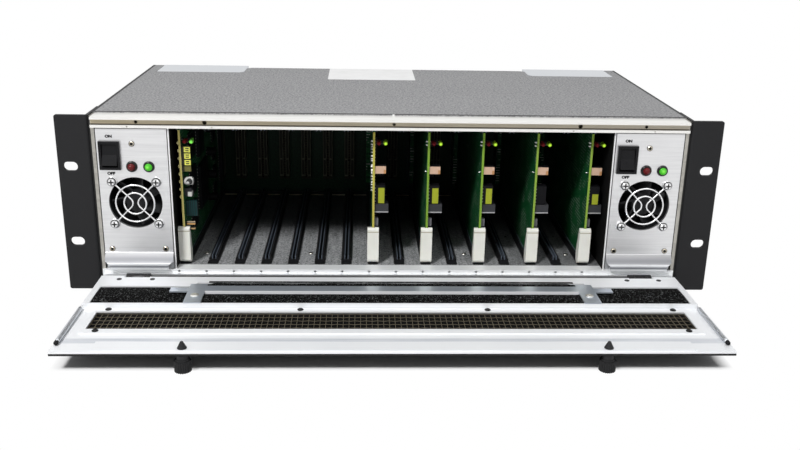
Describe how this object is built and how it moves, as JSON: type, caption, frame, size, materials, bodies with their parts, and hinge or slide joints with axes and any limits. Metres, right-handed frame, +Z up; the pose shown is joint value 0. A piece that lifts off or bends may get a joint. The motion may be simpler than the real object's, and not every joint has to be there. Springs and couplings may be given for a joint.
{
  "type": "modular card frame",
  "caption": "Three-unit rack frame with a fold-down filter door, side power modules with fans, and vertical plug-in cards in guides.",
  "frame": {"origin": "middle of the four rack slots, on the front face of the ears", "axes": "+X to the right across the frame, +Y to the rear, +Z up; the ears face -Y"},
  "size_m": [0.4826, 0.3697, 0.1385],
  "materials": {
    "bare_steel": "bare zinc-plated sheet",
    "black_paint": "matte black powder coat",
    "grey_cover": "fine-textured grey",
    "bright_aluminium": "bright, lightly brushed",
    "white_panel": "bare sheet",
    "black_plastic": "moulded",
    "grey_floor": "dull dark grey",
    "dark_board": "solder-masked board",
    "connector_body": "moulded, tan",
    "nickel": "nickel plate",
    "rubber_feet": "moulded",
    "foam": "open-cell foam",
    "dark_mesh": "dark woven wire",
    "black_steel": "black oxide",
    "brushed_plate": "brushed",
    "psu_case": "plain sheet",
    "lamp_plastic": "black collar with a coloured lens",
    "guard_wire": "plated wire",
    "circuit_board": "green solder mask",
    "white_plastic": "moulded, off-white"
  },
  "bodies": {
    "chassis": {"side_panel_left": "bare_steel", "side_panel_right": "bare_steel", "rack_ear_left": "black_paint", "rack_ear_right": "black_paint", "top_cover": "grey_cover", "base_pan": "black_paint", "top_rail": "bright_aluminium", "bottom_rail": "bright_aluminium", "hinge_strip": "bright_aluminium", "rear_rails": "bare_steel", "card_guides": "black_plastic", "cage_floor": "grey_floor", "partitions": "bare_steel", "backplane": "dark_board", "slot_connectors": "connector_body", "rear_panel": "white_panel", "coax_jacks": "nickel", "mains_inlets": "black_plastic", "feet": "rubber_feet", "chassis_screws": "bare_steel"},
    "door": {"door_skin": "black_paint", "door_tray": "bright_aluminium", "foam_filter": "foam", "filter_retainer": "bright_aluminium", "mesh_frame": "bright_aluminium", "intake_mesh": "dark_mesh", "door_arms": "bright_aluminium", "arm_tips": "black_plastic", "door_screws": "bare_steel", "door_hinges": "black_steel"},
    "thumbscrew_left": {"thumbscrew_left": "black_steel"},
    "thumbscrew_right": {"thumbscrew_right": "black_steel"},
    "psu_left": {"psu_left_faceplate": "brushed_plate", "psu_left_case": "psu_case", "psu_left_switch_bezel": "black_plastic", "psu_left_lamps": "lamp_plastic", "psu_left_fan_housing": "black_plastic", "psu_left_finger_guard": "guard_wire"},
    "psu_left_fan": {"psu_left_fan_rotor": "black_plastic"},
    "psu_left_switch": {"psu_left_rocker": "black_plastic"},
    "psu_right": {"psu_right_faceplate": "brushed_plate", "psu_right_case": "psu_case", "psu_right_switch_bezel": "black_plastic", "psu_right_lamps": "lamp_plastic", "psu_right_fan_housing": "black_plastic", "psu_right_finger_guard": "guard_wire"},
    "psu_right_fan": {"psu_right_fan_rotor": "black_plastic"},
    "psu_right_switch": {"psu_right_rocker": "black_plastic"},
    "controller_card": {"controller_board": "circuit_board"},
    "controller_ejector": {"controller_ejector": "white_plastic"},
    "card_1": {"card_1_board": "circuit_board"},
    "card_1_ejector": {"card_1_ejector": "white_plastic"},
    "card_2": {"card_2_board": "circuit_board"},
    "card_2_ejector": {"card_2_ejector": "white_plastic"},
    "card_3": {"card_3_board": "circuit_board"},
    "card_3_ejector": {"card_3_ejector": "white_plastic"},
    "card_4": {"card_4_board": "circuit_board"},
    "card_4_ejector": {"card_4_ejector": "white_plastic"},
    "card_5": {"card_5_board": "circuit_board"},
    "card_5_ejector": {"card_5_ejector": "white_plastic"}
  },
  "joints": [
    {"name": "door_hinge", "type": "hinge", "parent": "chassis", "child": "door", "pos_m": [0, -0.0075, -0.05415], "axis": [1, 0, 0], "range_deg": [-90, 0]},
    {"name": "thumbscrew_left_turn", "type": "hinge", "parent": "door", "child": "thumbscrew_left", "pos_m": [-0.1355, -0.1232, -0.06245], "axis": [0, 0, 1], "continuous": true},
    {"name": "thumbscrew_right_turn", "type": "hinge", "parent": "door", "child": "thumbscrew_right", "pos_m": [0.1355, -0.1232, -0.06245], "axis": [0, 0, 1], "continuous": true},
    {"name": "psu_left_slide", "type": "slide", "parent": "chassis", "child": "psu_left", "axis": [0, -1, 0], "range_m": [0, 0.17]},
    {"name": "psu_left_fan_spin", "type": "hinge", "parent": "psu_left", "child": "psu_left_fan", "pos_m": [-0.18796, 0.005, 0.00155], "axis": [0, 1, 0], "continuous": true},
    {"name": "psu_left_switch_rock", "type": "hinge", "parent": "psu_left", "child": "psu_left_switch", "pos_m": [-0.20396, 0.001, 0.03705], "axis": [1, 0, 0], "range_deg": [0, 24]},
    {"name": "psu_right_slide", "type": "slide", "parent": "chassis", "child": "psu_right", "axis": [0, -1, 0], "range_m": [0, 0.17]},
    {"name": "psu_right_fan_spin", "type": "hinge", "parent": "psu_right", "child": "psu_right_fan", "pos_m": [0.18796, 0.005, 0.00155], "axis": [0, 1, 0], "continuous": true},
    {"name": "psu_right_switch_rock", "type": "hinge", "parent": "psu_right", "child": "psu_right_switch", "pos_m": [0.17196, 0.001, 0.03705], "axis": [1, 0, 0], "range_deg": [0, 24]},
    {"name": "controller_card_slide", "type": "slide", "parent": "chassis", "child": "controller_card", "axis": [0, -1, 0], "range_m": [0, 0.17]},
    {"name": "controller_ejector_lever", "type": "hinge", "parent": "controller_card", "child": "controller_ejector", "pos_m": [-0.1564, 0.014, -0.04525], "axis": [1, 0, 0], "range_deg": [0, 60]},
    {"name": "card_1_slide", "type": "slide", "parent": "chassis", "child": "card_1", "axis": [0, -1, 0], "range_m": [0, 0.17]},
    {"name": "card_1_ejector_lever", "type": "hinge", "parent": "card_1", "child": "card_1_ejector", "pos_m": [-0.01416, 0.014, -0.04525], "axis": [1, 0, 0], "range_deg": [0, 60]},
    {"name": "card_2_slide", "type": "slide", "parent": "chassis", "child": "card_2", "axis": [0, -1, 0], "range_m": [0, 0.17]},
    {"name": "card_2_ejector_lever", "type": "hinge", "parent": "card_2", "child": "card_2_ejector", "pos_m": [0.02648, 0.014, -0.04525], "axis": [1, 0, 0], "range_deg": [0, 60]},
    {"name": "card_3_slide", "type": "slide", "parent": "chassis", "child": "card_3", "axis": [0, -1, 0], "range_m": [0, 0.17]},
    {"name": "card_3_ejector_lever", "type": "hinge", "parent": "card_3", "child": "card_3_ejector", "pos_m": [0.06712, 0.014, -0.04525], "axis": [1, 0, 0], "range_deg": [0, 60]},
    {"name": "card_4_slide", "type": "slide", "parent": "chassis", "child": "card_4", "axis": [0, -1, 0], "range_m": [0, 0.17]},
    {"name": "card_4_ejector_lever", "type": "hinge", "parent": "card_4", "child": "card_4_ejector", "pos_m": [0.10776, 0.014, -0.04525], "axis": [1, 0, 0], "range_deg": [0, 60]},
    {"name": "card_5_slide", "type": "slide", "parent": "chassis", "child": "card_5", "axis": [0, -1, 0], "range_m": [0, 0.17]},
    {"name": "card_5_ejector_lever", "type": "hinge", "parent": "card_5", "child": "card_5_ejector", "pos_m": [0.1484, 0.014, -0.04525], "axis": [1, 0, 0], "range_deg": [0, 60]}
  ]
}
